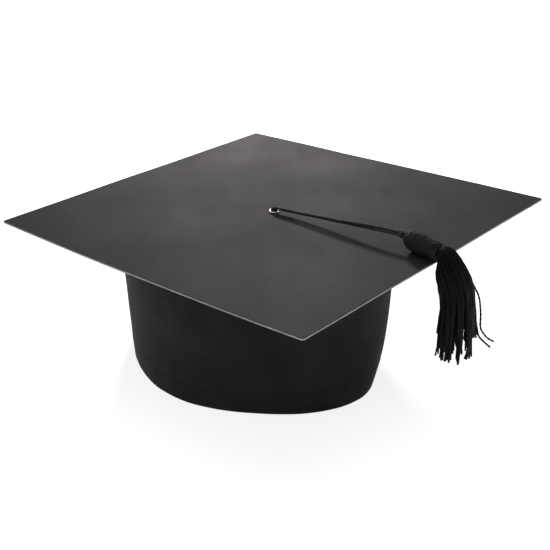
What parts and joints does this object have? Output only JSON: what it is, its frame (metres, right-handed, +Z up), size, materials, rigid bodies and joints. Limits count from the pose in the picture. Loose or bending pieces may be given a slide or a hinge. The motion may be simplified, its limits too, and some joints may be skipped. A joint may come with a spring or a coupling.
{
  "type": "graduation cap",
  "caption": "Square pasteboard mortarboard on a soft black twill skull cap, with a corded tassel held in a metal eyelet and hanging over one edge.",
  "frame": {"origin": "on the ground under the middle of the board", "axes": "+Z up, -Y out of the front corner of the board, +X out of the corner on the viewer's right when facing the front corner"},
  "size_m": [0.34, 0.34, 0.1078],
  "materials": {
    "black_paper": "satin coated black paper",
    "pasteboard": "raw white cut pasteboard",
    "nickel": "bright nickel plate",
    "glue": "dried hot melt glue",
    "black_twill": "black polyester twill",
    "seam_tape": "black woven seam tape",
    "elastic": "black braided elastic",
    "label_cloth": "plain white woven label, no text",
    "rayon_cord": "black twisted rayon"
  },
  "bodies": {
    "cap": {"board_top_paper": "black_paper", "board_core": "pasteboard", "board_bottom_paper": "black_paper", "eyelet": "nickel", "eyelet_washer": "nickel", "glue_layer": "glue", "crown_cloth": "black_twill", "crown_seam_tape": "seam_tape", "front_panel": "black_twill", "back_right_panel": "black_twill", "back_left_panel": "black_twill", "seam_tape_right": "seam_tape", "seam_tape_back": "seam_tape", "seam_tape_left": "seam_tape", "hem_front": "black_twill", "hem_back_casing": "black_twill", "hem_elastic": "elastic", "blank_label": "label_cloth"},
    "cord_anchor": {"cord_through_eyelet": "rayon_cord", "retaining_knot": "rayon_cord"},
    "cord": {"cord_run": "rayon_cord", "tassel_knot": "rayon_cord"},
    "tassel": {"tassel_head": "rayon_cord", "neck_binding": "rayon_cord"},
    "skirt": {"tassel_skirt": "rayon_cord", "stray_strand_outer": "rayon_cord", "stray_strand_inner": "rayon_cord"}
  },
  "joints": [
    {"name": "cord_swivel", "type": "hinge", "parent": "cap", "child": "cord_anchor", "pos_m": [0, -0.0035, 0.095], "axis": [0, 0, 1], "range_deg": [-6, 6]},
    {"name": "cord_lift", "type": "hinge", "parent": "cord_anchor", "child": "cord", "pos_m": [0, -0.0035, 0.0976], "axis": [-0.6884, -0.7254, 0], "range_deg": [0, 100]},
    {"name": "head_swing", "type": "hinge", "parent": "cord", "child": "tassel", "pos_m": [0.06731, -0.06738, 0.1028], "axis": [-0.6884, -0.7254, 0], "range_deg": [0, 70]},
    {"name": "skirt_flex", "type": "hinge", "parent": "tassel", "child": "skirt", "pos_m": [0.08384, -0.09078, 0.1049], "axis": [-0.6884, -0.7254, 0], "range_deg": [0, 60]}
  ]
}
